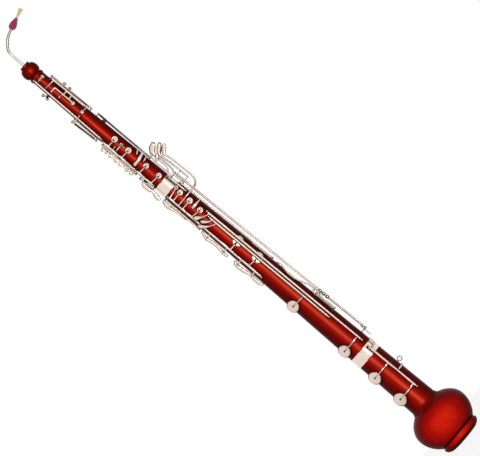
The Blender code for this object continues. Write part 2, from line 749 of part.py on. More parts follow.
# Pivot rods: drops of both ends, turns of both ends, heights where they differ from the usual
UPPER_LEFT = Rod(TOP, (37.5, 225.8), (-30.9, -33.6))
TRILL_ROD = Rod(TOP, (61.5, 154), (52.9, 46.3))
UPPER_RIGHT = Rod(TOP, (59.8, 168), (82, 74))
ARCH_ROD = Rod(TOP, (155.3, 219), (-90, -73), (8.0 * MM, ROD_HEIGHT))
STACK = Rod(TOP, (230.8, 374), (-41.8, -41.0))
LEFT_SIDE = Rod(TOP, (236, 329), (-63, -63))
RIGHT_LONG = Rod(TOP, (186.5, 329.5), (88, 64.5))
PADDLE_ROD = Rod(TOP, (342, 377), (-69, -69))
MAIN_LEFT = Rod(LOWER, (31.5, 291.5), (-36, -34.2))
OUTER_LEFT = Rod(LOWER, (31.5, 126), (-60, -61))
FRONT_OUTER = Rod(LOWER, (114, 538), (23.6, 24.7), (FRONT_ROD_HEIGHT, FRONT_ROD_HEIGHT))
FRONT_INNER = Rod(LOWER, (124, 454), (12.4, 13.4), (FRONT_ROD_HEIGHT, FRONT_ROD_HEIGHT))
RIGHT_OUTER = Rod(LOWER, (10, 528), (84, 80), (11.1 * MM, 12.4 * MM))
RIGHT_INNER = Rod(LOWER, (31.6, 283), (60, 62))
LOW_SIDE = Rod(LOWER, (402, 451), (63, 62), (7.0 * MM, 7.0 * MM))
LITTLE_ROD = Rod(LOWER, (3.5, 52), (40, 40))
BELL_ROD = Rod(BELL, (6.7, 139.5), (25, 26.2), (ROD_HEIGHT + BAND_PROUD, ROD_HEIGHT))


def rod_sets():
    """Every pivot rod with its posts."""
    on_bead = (BEAD_RADIUS - TUBE_TOP_RADIUS) / MM
    on_band = BAND_PROUD / MM
    side_bars = []
    for drop in (157.2, 217.0):
        ends = TOP.stops((drop, -76 if drop > 200 else -88, 6.0 if drop > 200 else 7.6), (drop, -66, 6.2),
                         (drop, -54, 5.6))
        side_bars.append(sweep(ends, (3 * MM, 3 * MM), (2 * MM, 2 * MM)))
    fixed = solid_rod(TOP.at(156.0 * MM, -54, ROD_HEIGHT), TOP.at(218.2 * MM, -53, ROD_HEIGHT), 1.9 * MM)
    UPPER_LEFT.with_posts("octave_rod", [(37.5, on_bead), 225.8])
    TRILL_ROD.with_posts("trill_rod", [61.5, 154])
    UPPER_RIGHT.with_posts("upper_right_rod", [59.8, 168])
    ARCH_ROD.with_posts("arch_rod", [155.3, 219], [fixed, *side_bars])
    STACK.with_posts("stack_rod", [230.8, 323.5, 374])
    LEFT_SIDE.with_posts("left_side_rod", [236, 329])
    RIGHT_LONG.with_posts("right_long_rod", [186.5, 329.5])
    PADDLE_ROD.with_posts("paddle_rod", [342, 377])
    MAIN_LEFT.with_posts("main_left_rod", [31.5, 107, 291.5])
    OUTER_LEFT.with_posts("outer_left_rod", [31.5, 126])
    FRONT_OUTER.with_posts("front_outer_rod", [114, 538])
    FRONT_INNER.with_posts("front_inner_rod", [124, 454])
    RIGHT_OUTER.with_posts("right_outer_rod", [(10, on_band), 528])
    RIGHT_INNER.with_posts("right_inner_rod", [31.6, 283])
    LOW_SIDE.with_posts("low_side_rod", [402, 451])
    LITTLE_ROD.with_posts("little_finger_rod", [(3.5, on_band), 52])
    BELL_ROD.with_posts("bell_rod", [(6.7, on_band), 139.5])


def octave_keys():
    """Both octave keys and the upper vent, with their thumb touches at the back."""
    rod = UPPER_LEFT
    thumb = TOP.stops((77.7, -58, 6.5), (77.7, -92, 6.6), (78, -120, 7.8), (82, -145, 7.8), (90, -162, 7.4))
    key("octave_key", rod, 46 * MM, [
        rod.tube(40.9, 222.6), cup(TOP, OCTAVE_UPPER_PAD), pad_arm(rod, 46 * MM, OCTAVE_UPPER_PAD),
        rod.arm(77.7, thumb, (3 * MM, 3 * MM, 8.4 * MM, 5 * MM, 9 * MM, 6 * MM)),
        ball(TOP.at(72 * MM, -91, 6.4 * MM), 3.6 * MM, FRONT),
        ball(TOP.at(83.4 * MM, -91, 6.4 * MM), 3.6 * MM, FRONT)])
    rod = UPPER_RIGHT
    back = TOP.stops((90.8, 96, 9.8), (93, 120, 9.0), (102, 145, 7.0), (112, 160, 6.0))
    second = TOP.stops((105.6, 96, 8.8), (106, 120, 8.2), (106, 146, 6.6))
    key("second_octave_key", rod, 158 * MM, [
        rod.tube(63.3, 164.5), cup(TOP, OCTAVE_LOWER_PAD),
        pad_arm(rod, 159.2 * MM, OCTAVE_LOWER_PAD, TOP.stops((159.2, 55, 9.6), (159, 36, 8.6))),
        rod.arm(90.8, back, (3.4 * MM, 3.4 * MM, 4 * MM, 9 * MM, 6 * MM)),
        rod.arm(105.6, second, (3.4 * MM, 3.4 * MM, 4 * MM, 4 * MM)),
        ball(back[0], 3.7 * MM, FRONT), ball(second[0], 3.7 * MM, FRONT)])
    rod = TRILL_ROD
    key("upper_vent_key", rod, 68 * MM, [
        rod.tube(65.0, 98.0), cup(TOP, UPPER_VENT_PAD, 8),
        pad_arm(rod, 69 * MM, UPPER_VENT_PAD, TOP.stops((68.5, 20, 7.0)))])


def trill_key():
    """The long bar across the front with its round pad, on two arms."""
    rod = TRILL_ROD
    bar = TOP.stops((80, 16, 5.8), (92, 16.5, 6.0), (110, 16.5, 6.0), (131, 16.5, 5.2))
    foot = TOP.stops((81, 16, 5.6), (81, 4, 6.0), (81, -10, 5.8), (81, -17, 5.2))
    knob = TOP.stops((101.6, 16, 5.4), (101.6, 3, 5.2), (101.6, -8.5, 4.6))
    key("trill_key", rod, 105 * MM, [
        rod.tube(98.4, 150.5), cup(TOP, TRILL_PAD, 10),
        rod.arm(104.6, TOP.stops((104.6, 34, 7.2), (104.6, 18, 6.0)), (3.4 * MM, 3.4 * MM)),
        rod.arm(119.0, TOP.stops((119, 34, 7.2), (119, 18, 6.0)), (3.4 * MM, 3.4 * MM)),
        sweep(bar, (3.4 * MM, 3.4 * MM), (1.8 * MM, 1.8 * MM)),
        sweep(foot, (4.2 * MM, 4.2 * MM), (1.8 * MM, 1.8 * MM)),
        sweep(knob, (1.8 * MM, 1.8 * MM), (1.6 * MM, 1.6 * MM)),
        ball(knob[-1], 2.4 * MM, outward(-8.5))])


def arch_key():
    """The key whose arm arches over the octave key to the front."""
    rod = ARCH_ROD
    tip = TOP.stops((160.5, -64, 10.8), (160, -36, 11.2), (159.4, -16, 8.4), (158.6, -7.5, 5.6))
    key("arch_key", rod, 160 * MM, [
        rod.tube(159.4, 213.5), cup(TOP, ARCH_PAD), pad_arm(rod, 205 * MM, ARCH_PAD),
        rod.arm(161, tip, (3.2 * MM, 3.2 * MM))])


def stack_keys():
    """The left hand's finger plates down the front of the top joint."""
    rod = STACK
    wide = 3.0 * MM
    key("left_index_key", rod, 247 * MM, [
        rod.tube(234.0, 255.6), cup(TOP, LEFT_INDEX_PAD, 12, 0.55),
        pad_arm(rod, 247 * MM, LEFT_INDEX_PAD, width=wide, end=0.1)])
    knob = TOP.stops((258.6, -28, 6.6), (258.6, -16.5, 5.6))
    key("left_vent_key", rod, 266 * MM, [
        rod.tube(256.0, 274.6), cup(TOP, INDEX_VENT_PAD, 10, 0.5),
        pad_arm(rod, 266 * MM, INDEX_VENT_PAD),
        sweep(TOP.stops((266, 10, 4.6), (274.6, 9.5, 4.8)), (1.8 * MM, 1.8 * MM), (1.4 * MM, 1.4 * MM)),
        ball(TOP.at(274.6 * MM, 9.5, 4.6 * MM), 2.2 * MM, outward(9.5)),
        rod.arm(258.6, knob, (2 * MM, 2 * MM)), ball(knob[-1], 2.5 * MM, outward(-16.5))])
    key("left_middle_key", rod, 284 * MM, [
        rod.tube(275.0, 320.0), cup(TOP, LEFT_MIDDLE_PAD, 12, 0.55),
        pad_arm(rod, 284 * MM, LEFT_MIDDLE_PAD, width=wide, end=0.1)])
    key("left_ring_key", rod, 333 * MM, [
        rod.tube(327.0, 350.0), cup(TOP, LEFT_RING_PAD, 12, 0.55),
        pad_arm(rod, 333 * MM, LEFT_RING_PAD, width=wide, end=0.1)])
    key("low_ring_key", rod, 366 * MM, [
        rod.tube(350.4, 370.5), cup(TOP, LOW_RING_PAD, 12, 0.55),
        pad_arm(rod, 366 * MM, LOW_RING_PAD, width=wide, end=0.1)])


def comb(drops, inner, outer, forward):
    """A scalloped side touch, seen edge to edge from the front: a lobe at each drop."""
    points = []
    widths = []
    first = drops[0] - 5
    last = drops[-1] + 5
    marks = [first]
    for low, high in zip(drops, drops[1:]):
        marks += [low, (low + high) / 2]
    marks += [drops[-1], last]
    for mark in marks:
        lobe = mark in drops
        points += TOP.spots((mark, -(inner + outer) / 2 if lobe else -(inner * 0.75 + outer * 0.25), forward))
        widths.append((outer - inner) * (1.0 if lobe else 0.42) * MM)
    return sweep(points, widths, (2 * MM, 2 * MM), 1, FRONT)


def side_keys():
    """The left side's scalloped touch and the two paddles below it."""
    rod = LEFT_SIDE
    touch = comb((243, 252, 263, 279, 290, 310, 320), 24.0, 33.5, 10.5)
    key("left_side_key", rod, 280 * MM, [
        rod.tube(239.4, 325.6), cup(TOP, LEFT_SIDE_PAD), pad_arm(rod, 280 * MM, LEFT_SIDE_PAD),
        touch, rod.arm(252, TOP.spots((252, -26.5, 10.7)), (3 * MM, 3 * MM)),
        rod.arm(310, TOP.spots((310, -26.5, 10.7)), (3 * MM, 3 * MM))])
    rod = PADDLE_ROD
    upper = TOP.spots((351, -26, 14.4), (355, -29, 14.4), (362, -30.5, 14.4), (372, -30, 14.4),
                      (380, -27.5, 14.4))
    lower = TOP.spots((378, -27, 14.4), (386, -29, 14.4), (394, -31, 14.4), (399, -32, 14.4),
                      (403, -29.5, 14.4))
    key("paddle_key", rod, 360 * MM, [
        rod.tube(345.4, 373.6), cup(TOP, PADDLE_PAD), pad_arm(rod, 355 * MM, PADDLE_PAD),
        rod.arm(361, TOP.spots((361, -28.5, 14.2)), (3 * MM, 3 * MM)),
        leaf(upper, (3 * MM, 8.5 * MM, 9.5 * MM, 9 * MM, 5 * MM), FRONT),
        leaf(lower, (4.5 * MM, 8 * MM, 10.5 * MM, 9 * MM, 3 * MM), FRONT)])


def right_long_key():
    """The long key of the right side, with its saddle plate, loop and claw on the front."""
    rod = RIGHT_LONG
    plate = TOP.stops((311.5, 42, 7.6), (313.5, 20, 6.8), (314.8, 5, 6.4), (314.8, -12, 6.4),
                      (314.8, -27, 6.0))
    claw = TOP.stops((322, 46, 8.0), (323.5, 30, 7.0), (324.5, 14, 5.8))
    hook = TOP.stops((299, 44, 7.6), (302, 30, 6.4), (305, 23, 5.4))
    key("right_long_key", rod, 300 * MM, [
        rod.tube(190.0, 325.8), cup(TOP, RIGHT_SIDE_PAD), pad_arm(rod, 205 * MM, RIGHT_SIDE_PAD),
        rod.arm(311, plate, (3 * MM, 6 * MM, 8.4 * MM, 8.4 * MM, 8.4 * MM, 7.6 * MM)),
        rod.arm(322, claw, (2.6 * MM, 3.4 * MM, 3.4 * MM, 2.4 * MM)),
        rod.arm(299, hook, (2.6 * MM, 3.4 * MM, 3.4 * MM, 2.4 * MM))])


def right_hand_keys():
    """The right hand's finger plates on the lower joint, and the drop-shaped touch between them."""
    rod = MAIN_LEFT
    wide = 3.0 * MM
    key("right_index_key", rod, 45 * MM, [
        rod.tube(35.0, 53.0), cup(LOWER, SMALL_INDEX_PAD, 12, 0.55), cup(LOWER, RIGHT_INDEX_PAD, 12, 0.55),
        pad_arm(rod, 36.2 * MM, SMALL_INDEX_PAD, end=-0.2, depth=2.2 * MM),
        pad_arm(rod, 45.4 * MM, RIGHT_INDEX_PAD, width=wide, end=0.1)])
    key("right_middle_key", rod, 72 * MM, [
        rod.tube(66.4, 82.0), cup(LOWER, RIGHT_MIDDLE_PAD, 12, 0.55),
        pad_arm(rod, 71.8 * MM, RIGHT_MIDDLE_PAD, width=wide, end=0.1)])
    key("right_ring_key", rod, 97 * MM, [
        rod.tube(82.4, 103.6), cup(LOWER, RIGHT_RING_PAD, 12, 0.55),
        pad_arm(rod, 97.4 * MM, RIGHT_RING_PAD, width=wide, end=0.1)])
    rod = RIGHT_INNER
    drop_touch = LOWER.stops((86.6, 42, 8.0), (86.6, 28, 8.2), (86.6, 14, 7.8), (86.6, 2, 7.0),
                             (86.6, -5, 6.0))
    key("drop_touch_key", rod, 87 * MM, [
        rod.tube(82.5, 229),
        rod.arm(86.6, drop_touch, (2.4 * MM, 2.8 * MM, 5 * MM, 8.4 * MM, 8.0 * MM, 4 * MM))])


def side_pad_keys():
    """The two large front pads with their wavy touches on the left."""
    rod = MAIN_LEFT
    wave = LOWER.spots((133, -25.5, 14), (142, -29, 14), (152, -31.5, 14), (166, -28.5, 14), (180, -29, 14),
                       (196, -31, 14), (209, -30.5, 14))
    key("upper_side_key", rod, 200 * MM, [
        rod.tube(110.4, 216.0), cup(LOWER, UPPER_SIDE_PAD, 16),
        pad_arm(rod, 203.8 * MM, UPPER_SIDE_PAD, end=0.5, width=3.4 * MM),
        leaf(wave, (4 * MM, 6 * MM, 7.5 * MM, 6.5 * MM, 6.5 * MM, 8 * MM, 5 * MM), FRONT),
        rod.arm(150, LOWER.spots((150, -22, 20), (150, -29, 15)), (3 * MM, 3 * MM)),
        rod.arm(196, LOWER.spots((196, -22, 21), (196, -29.5, 15)), (3 * MM, 3 * MM))])
    wave = LOWER.spots((227, -27, 15), (231, -31.5, 15), (242, -33.5, 15), (256, -32, 15), (270, -29.5, 15),
                       (286, -31.5, 15), (298, -31, 15), (305, -27, 15))
    key("lower_side_key", rod, 255 * MM, [
        rod.tube(216.4, 288.0), cup(LOWER, LOWER_SIDE_PAD, 16),
        pad_arm(rod, 254.5 * MM, LOWER_SIDE_PAD, end=0.5, width=3.4 * MM),
        leaf(wave, (4 * MM, 7.5 * MM, 9 * MM, 8 * MM, 6.5 * MM, 8 * MM, 7 * MM, 4 * MM), FRONT),
        rod.arm(235.5, LOWER.spots((235.5, -24, 22), (235.5, -31, 16)), (3.4 * MM, 3.4 * MM)),
        rod.arm(273.6, LOWER.spots((273.6, -24, 22), (273.6, -29.5, 16)), (3.4 * MM, 3.4 * MM))])


def bridge_key():
    """The long leaf of the left side, below the middle band."""
    rod = OUTER_LEFT
    blade = LOWER.spots((28, -27, 12.5), (36, -31, 12.5), (46, -32, 12.5), (58, -30, 12.5), (76, -29, 12.5),
                        (92, -28, 12.5))
    key("left_bridge_key", rod, 60 * MM, [
        rod.tube(34.9, 122.6), leaf(blade, (3 * MM, 8 * MM, 8.5 * MM, 6 * MM, 4 * MM, 4 * MM), FRONT),
        rod.arm(50, LOWER.spots((50, -29, 12.8)), (3 * MM, 3 * MM)),
        rod.arm(90, LOWER.spots((90, -27.5, 12.8)), (3 * MM, 3 * MM)), rod.collar(91, 3.5 * MM)])


def claw_keys():
    """The right little finger's three touches, and the long tubes to the low pads."""
    rod = FRONT_OUTER
    claw = LOWER.stops((119.5, 12, 13), (115, -2, 12.5), (109.5, -13, 11.5), (106, -21, 11.0),
                       (103, -29, 10.5))
    key("low_c_sharp_key", rod, 300 * MM, [
        rod.tube(117.4, 534.6), cup(LOWER, LOW_C_SHARP_PAD, 16),
        rod.arm(120.6, claw, (3 * MM, 3 * MM, 3.6 * MM, 8.5 * MM, 12.5 * MM, 7 * MM)),
        pad_arm(rod, 526 * MM, LOW_C_SHARP_PAD, LOWER.stops((526, 8, 11.6), (527, -8, 11.6)),
                width=3.4 * MM)])
    rod = FRONT_INNER
    claw = LOWER.stops((133, 3, 13), (127.5, -7, 12.5), (122, -14, 12), (118, -20, 11.5))
    key("e_flat_touch_key", rod, 133 * MM, [
        rod.tube(127.4, 138.0), rod.arm(132.5, claw, (3 * MM, 3.2 * MM, 6.5 * MM, 8.5 * MM, 6 * MM))])
    claw = LOWER.stops((144, 2, 13), (138, -12, 12.5), (131.5, -24, 12), (125, -33, 11.5), (119, -40, 11))
    key("low_c_key", rod, 250 * MM, [
        rod.tube(138.4, 450.6), cup(LOWER, LOW_C_PAD, 16),
        rod.arm(145.4, claw, (3 * MM, 3 * MM, 3.6 * MM, 8 * MM, 10.5 * MM, 6 * MM)),
        pad_arm(rod, 385 * MM, LOW_C_PAD, LOWER.stops((384, -4, 11.6)), width=3.4 * MM)])


def little_finger_keys():
    """The left little finger's fan of touches on their long levers."""
    side = Vector((0.25, -1, 0)).normalized()
    rod = RIGHT_OUTER
    lever = LOWER.spots((37, 43.5, 5), (20, 43.5, 5), (-10, 43.0, 5), (-36, 40.5, 5), (-44, 44, 5),
                        (-51, 53, 5), (-56, 60.5, 5))
    tongue = LOWER.spots((516, 40.2, 1.5), (521, 38.6, -1.5), (529, 38.4, -1.5), (547, 38.4, -1.5))
    key("low_b_key", rod, 100 * MM, [
        rod.tube(14, 524.4),
        sweep(lever, (*[3.8 * MM] * 3, 5 * MM, 10 * MM, 10.5 * MM, 6 * MM), (2 * MM, 2 * MM), 2, side),
        rod.arm(36, LOWER.spots((36, 43.5, 5)), (3.6 * MM, 3.6 * MM), face=Vector((0, 0, 1))),
        rod.arm(16, LOWER.spots((16, 43.5, 5)), (3.6 * MM, 3.6 * MM), face=Vector((0, 0, 1))),
        rod.collar(404.8, 4.4 * MM), rod.collar(414.5, 4.4 * MM), rod.collar(424.2, 4.4 * MM),
        rod.arm(394, LOWER.spots((394, 27, 16)), (5.2 * MM, 5.2 * MM), 1.6 * MM),
        rod.arm(516, tongue, (3 * MM, 3.2 * MM, 4 * MM, 5 * MM, 5 * MM))])
    rod = RIGHT_INNER
    lever = LOWER.spots((36, 28.6, 16.6), (25, 29.3, 17.6), (12, 28.5, 19), (4, 33.5, 17), (-4, 36, 15),
                        (-30, 36.5, 13), (-46, 33.5, 12), (-54, 34.5, 12), (-61, 42.5, 12), (-66, 52.5, 12))
    widths = (2.6 * MM, 3.2 * MM, 3.8 * MM, 3.8 * MM, 4 * MM, 3.8 * MM, 3.8 * MM,
              6 * MM, 12 * MM, 14 * MM, 8 * MM)
    key("low_b_flat_key", rod, 60 * MM, [rod.tube(35, 82), rod.arm(38, lever, widths, 2 * MM, face=FRONT)])
    rod = LITTLE_ROD
    curl = LOWER.spots((9.5, 21.5, 24.4), (4, 23.5, 24.4), (-6, 24, 23), (-34, 23, 22), (-48, 25.5, 21),
                       (-55, 31, 20))
    leaf_line = LOWER.spots((-3, 24, 23.5), (-10, 31, 21.5), (-32, 31.5, 20), (-36, 27.5, 20.5),
                            (-40, 33, 20.5), (-46, 39, 20.5))
    leaf_widths = (3 * MM, 3.4 * MM, 3.4 * MM, 7 * MM, 9.5 * MM, 5 * MM)
    key("little_trill_key", rod, 20 * MM, [
        rod.tube(7.2, 48.4),
        rod.arm(10, curl, (2.6 * MM, 3 * MM, 3.4 * MM, 3.4 * MM, 3.4 * MM, 4 * MM, 3 * MM)),
        sweep(leaf_line, leaf_widths, (1.8 * MM, 1.8 * MM), 2, FRONT)])
    rod = MAIN_LEFT
    lever = LOWER.spots((60.6, -9, 31.5), (60.4, 3, 35), (60, 17, 34), (60, 28, 27), (60, 36, 18),
                        (56, 45, 13), (46, 51, 10), (30, 51.8, 9), (-10, 50.8, 9), (-28, 49, 9),
                        (-33, 48.5, 9), (-39, 53.5, 9), (-44, 61, 9), (-47, 65, 9))
    widths = (3.6 * MM, *[3.8 * MM] * 9, 4 * MM, 8 * MM, 10 * MM, 9 * MM, 5 * MM)
    key("e_flat_lever", rod, 60 * MM, [
        rod.tube(53.4, 66.0), rod.arm(60.6, lever, widths, 2.2 * MM, face=FRONT)])


def low_side_key():
    """The short key low on the right side, with its long curved lever."""
    rod = LOW_SIDE
    lever = LOWER.spots((404, 36, 19.5), (380, 34.5, 19.5), (376, 34, 19.5), (362, 29, 21), (345, 25, 22),
                        (328, 24.5, 22), (312, 27.5, 20), (305, 29, 19), (296, 26.5, 20))
    key("low_side_key", rod, 420 * MM, [
        rod.tube(405.4, 447.6), rod.arm(410, lever, (3 * MM, 3 * MM, 3.4 * MM, 4.6 * MM, 4.6 * MM, 4.6 * MM,
                                                    4.6 * MM, 4.6 * MM, 6 * MM, 4 * MM), 2 * MM)])


def bell_keys():
    """The two large pads of the bell joint."""
    rod = BELL_ROD
    reach = BELL.spots((14, 24.5, 27.5), (12, 31, 18), (-1.5, 31, 18))
    key("bell_upper_key", rod, 61 * MM, [
        rod.tube(10.2, 84.0), cup(BELL, LOW_B_PAD, 16),
        pad_arm(rod, 61.2 * MM, LOW_B_PAD, BELL.stops((61.5, 8, 8.6), (61.2, -6, 10.6)), width=3.4 * MM),
        rod.arm(14, reach, (3.4 * MM, 3.6 * MM, 5 * MM, 5 * MM)),
        rod.arm(65.8, BELL.stops((65.8, 38, 5.5)), (3 * MM, 3 * MM))])
    key("bell_lower_key", rod, 130 * MM, [
        rod.tube(84.4, 135.6), cup(BELL, LOW_B_FLAT_PAD, 16),
        pad_arm(rod, 129 * MM, LOW_B_FLAT_PAD, BELL.stops((131, 8, 8.6), (131.4, -6, 10.6)), width=3.4 * MM),
        rod.arm(87, BELL.stops((87, 44, 6.5), (86.5, 64, 5.5), (86, 80, 3.5)), (4 * MM, 4.6 * MM))])


# How far each key swings, in degrees about its rod, the way of the rod pointing down
TRAVEL = {
    "octave_key": (0, 5), "second_octave_key": (-6, 0), "upper_vent_key": (-6, 0), "trill_key": (-6, 0),
    "arch_key": (-5, 0), "left_index_key": (-3.5, 0), "left_vent_key": (0, 5), "left_middle_key": (-3.5, 0),
    "left_ring_key": (-3.5, 0), "low_ring_key": (-3.5, 0), "left_side_key": (-6, 0), "paddle_key": (-6, 0),
    "right_long_key": (0, 4), "right_index_key": (-3.5, 0), "right_middle_key": (-3.5, 0),
    "right_ring_key": (-3.5, 0), "drop_touch_key": (0, 3), "upper_side_key": (0, 4.5),
    "lower_side_key": (0, 4.5), "left_bridge_key": (-4, 0), "low_c_sharp_key": (0, 2.2),
    "e_flat_touch_key": (0, 3), "low_c_key": (0, 2.2), "low_b_key": (-3.5, 0), "low_b_flat_key": (0, 3),
    "little_trill_key": (0, 4), "e_flat_lever": (-2.5, 0), "low_side_key": (0, 4),
    "bell_upper_key": (0, 2.2), "bell_lower_key": (0, 2.2)}

rod_sets()
octave_keys()
trill_key()
arch_key()
stack_keys()
side_keys()
right_long_key()
right_hand_keys()
side_pad_keys()
bridge_key()
claw_keys()
little_finger_keys()
low_side_key()
bell_keys()

top_joint()
lower_joint()
bell()
bell_rim()
band("middle_band", LOWER.top_z, MIDDLE_BAND)
band("lower_band", BELL.top_z, LOWER_BAND)
tenon_cork("middle_cork", LOWER.top_z, TOP_TENON_RADIUS)
tenon_cork("lower_cork", BELL.top_z, LOWER_TENON_RADIUS)
crook()
crook_cork()
reed_binding()
reed_blades()
strap_ring()
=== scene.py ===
# The looks of a bass double-reed woodwind: materials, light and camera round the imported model.
import json
import math
import bmesh
import bpy
from mathutils import Matrix, Vector


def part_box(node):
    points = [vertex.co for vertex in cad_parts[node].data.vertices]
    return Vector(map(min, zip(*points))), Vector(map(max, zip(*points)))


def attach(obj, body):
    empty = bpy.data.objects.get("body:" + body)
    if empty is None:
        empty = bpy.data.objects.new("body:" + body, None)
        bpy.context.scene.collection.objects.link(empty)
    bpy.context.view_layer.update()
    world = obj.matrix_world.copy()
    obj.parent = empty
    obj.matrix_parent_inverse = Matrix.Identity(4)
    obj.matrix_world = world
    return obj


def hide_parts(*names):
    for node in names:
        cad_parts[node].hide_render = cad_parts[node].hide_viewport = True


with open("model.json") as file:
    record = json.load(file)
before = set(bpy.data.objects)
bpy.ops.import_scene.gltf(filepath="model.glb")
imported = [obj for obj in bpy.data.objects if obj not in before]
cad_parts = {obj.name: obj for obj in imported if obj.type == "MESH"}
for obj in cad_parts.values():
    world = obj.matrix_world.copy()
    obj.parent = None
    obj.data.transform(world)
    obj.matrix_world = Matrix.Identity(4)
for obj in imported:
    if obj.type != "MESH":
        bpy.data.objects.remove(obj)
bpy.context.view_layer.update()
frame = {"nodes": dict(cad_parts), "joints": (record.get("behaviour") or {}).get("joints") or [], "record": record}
NODES = frame["nodes"]
AXIS_X = (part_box("bell_rim")[0].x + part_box("bell_rim")[1].x) / 2

# The camera: the photograph is 480 pixels wide and shows this much of the object's plane
VIEW_WIDTH = 1.014
VIEW_DISTANCE = 12.0
SENSOR = 36.0
CROWN_TO_MIDDLE = 0.5704
SIDE_TO_MIDDLE = 0.0323
TILT = math.radians(49.87)
FLOOR_HALF = 0.9

RECORD = frame["record"]
BODIES = RECORD["behaviour"]["bodies"]
WELD = 1e-6
SHARP = math.radians(50)
NEAR_ROUND = 0.96
STRAIGHT = 0.06

BULB_GIRTHS = (0.034, 0.052)

WOOD_NODES = ("top_joint", "lower_joint", "bell", "bell_rim")
BAND_NODES = ("middle_band", "lower_band", "strap_ring")
CORK_NODES = ("middle_cork", "lower_cork", "crook_cork")
TURNED_NODES = WOOD_NODES + ("middle_band", "lower_band", "middle_cork", "lower_cork")


class Shader:
    """A node-based material, built up in object space."""

    def __init__(self, name):
        self.material = bpy.data.materials.new(name)
        self.material.use_nodes = True
        self.tree = self.material.node_tree
        self.face = next(n for n in self.tree.nodes if n.type == "BSDF_PRINCIPLED")
        source = self.tree.nodes.new("ShaderNodeTexCoord")
        self.place = source.outputs["Object"]
        self.normal = source.outputs["Normal"]

    def link(self, source, target):
        self.tree.links.new(source, target)
        return target

    def stretch(self, scale, turn=(0, 0, 0)):
        node = self.tree.nodes.new("ShaderNodeMapping")
        node.inputs["Scale"].default_value = scale
        node.inputs["Rotation"].default_value = turn
        self.link(self.place, node.inputs["Vector"])
        return node.outputs["Vector"]

    def noise(self, where, size, detail=4.0, rough=0.55):
        node = self.tree.nodes.new("ShaderNodeTexNoise")
        node.inputs["Scale"].default_value = size
        node.inputs["Detail"].default_value = detail
        node.inputs["Roughness"].default_value = rough
        self.link(where, node.inputs["Vector"])
        return node.outputs["Fac"]

    def bands(self, where, size, way="Z", wobble=1.0):
        node = self.tree.nodes.new("ShaderNodeTexWave")
        node.bands_direction = way
        node.inputs["Scale"].default_value = size
        node.inputs["Distortion"].default_value = wobble
        self.link(where, node.inputs["Vector"])
        return node.outputs["Fac"]

    def ramp(self, value, *stops):
        node = self.tree.nodes.new("ShaderNodeValToRGB")
        marks = node.color_ramp.elements
        for mark, (place, colour) in ((marks[0], stops[0]), (marks[1], stops[-1])):
            mark.position = place
            mark.color = (*colour, 1)
        for place, colour in stops[1:-1]:
            marks.new(place).color = (*colour, 1)
        self.link(value, node.inputs["Fac"])
        return node.outputs["Color"]

    def spread(self, value, low, high):
        node = self.tree.nodes.new("ShaderNodeMapRange")
        node.inputs["From Min"].default_value = 0.25
        node.inputs["From Max"].default_value = 0.75
        node.inputs["To Min"].default_value = low
        node.inputs["To Max"].default_value = high
        self.link(value, node.inputs["Value"])
        return node.outputs["Result"]

    def between(self, value, low, high):
        """Nought at the low value, one at the high one."""
        node = self.tree.nodes.new("ShaderNodeMapRange")
        node.inputs["From Min"].default_value = low
        node.inputs["From Max"].default_value = high
        self.link(value, node.inputs["Value"])
        return node.outputs["Result"]

    def blend(self, share, first, second):
        node = self.tree.nodes.new("ShaderNodeMix")
        node.data_type = "RGBA"
        self.link(share, node.inputs["Factor"])
        self.link(first, node.inputs["A"])
        self.link(second, node.inputs["B"])
        return node.outputs["Result"]

    def shade(self, colour, by, share=1.0):
        node = self.tree.nodes.new("ShaderNodeMix")
        node.data_type = "RGBA"
        node.blend_type = "MULTIPLY"
        node.inputs["Factor"].default_value = share
        self.link(colour, node.inputs["A"])
        self.link(by, node.inputs["B"])
        return node.outputs["Result"]

    def painted_corner_shade(self, reach, low, high):
        """Painted shade: pale out in the open and dark in corners and near other parts, by ambient occlusion."""
        node = self.tree.nodes.new("ShaderNodeAmbientOcclusion")
        node.samples = 8
        node.inputs["Distance"].default_value = reach
        return self.ramp(node.outputs["AO"], (0.15, low), (0.75, high))

    def maths(self, operation, first, second=None):
        node = self.tree.nodes.new("ShaderNodeMath")
        node.operation = operation
        for socket, value in zip(node.inputs, (first, second)):
            if isinstance(value, (int, float)):
                socket.default_value = value
            elif value is not None:
                self.link(value, socket)
        return node.outputs["Value"]

    def frontness(self):
        """One where a face looks to the front or the back, nought where it looks sideways."""
        return self.maths("ABSOLUTE", self.part(self.normal, "Y"))

    def vectors(self, operation, first, second=None):
        node = self.tree.nodes.new("ShaderNodeVectorMath")
        node.operation = operation
        for socket, value in zip(node.inputs, (first, second)):
            if isinstance(value, tuple):
                socket.default_value = value
            elif value is not None:
                self.link(value, socket)
        return node.outputs

    def part(self, vector, letter):
        node = self.tree.nodes.new("ShaderNodeSeparateXYZ")
        self.link(vector, node.inputs["Vector"])
        return node.outputs[letter]

    def from_axis(self):
        """The level way from the body's axis to the place."""
        shifted = self.vectors("SUBTRACT", self.place, (AXIS_X, 0, 0))[0]
        return self.vectors("MULTIPLY", shifted, (1, 1, 0))[0]

    def outwardness(self):
        """One where a face looks away from the body's axis."""
        unit = self.vectors("NORMALIZE", self.from_axis())[0]
        return self.vectors("DOT_PRODUCT", unit, self.normal)["Value"]

    def turned_frontness(self):
        """What frontness gives, for a piece turned about the body's axis, as if it had no flat faces."""
        unit = self.vectors("NORMALIZE", self.from_axis())[0]
        upward = self.maths("POWER", self.maths("ABSOLUTE", self.part(self.normal, "Z")), 2.0)
        level = self.maths("SQRT", self.maths("SUBTRACT", 1.0, upward))
        return self.maths("MULTIPLY", self.maths("ABSOLUTE", self.part(unit, "Y")), level)

    def painted_side_shade(self, low, dark, high):
        """Painted shade: bright on faces that look to the front, the back or away from the axis, dark on a piece's
        thin sides, as a frontal light would leave them.
        """
        front_or_out = self.maths("MAXIMUM", self.frontness(), self.outwardness())
        return self.ramp(front_or_out, (low, dark), (high, (1, 1, 1)))

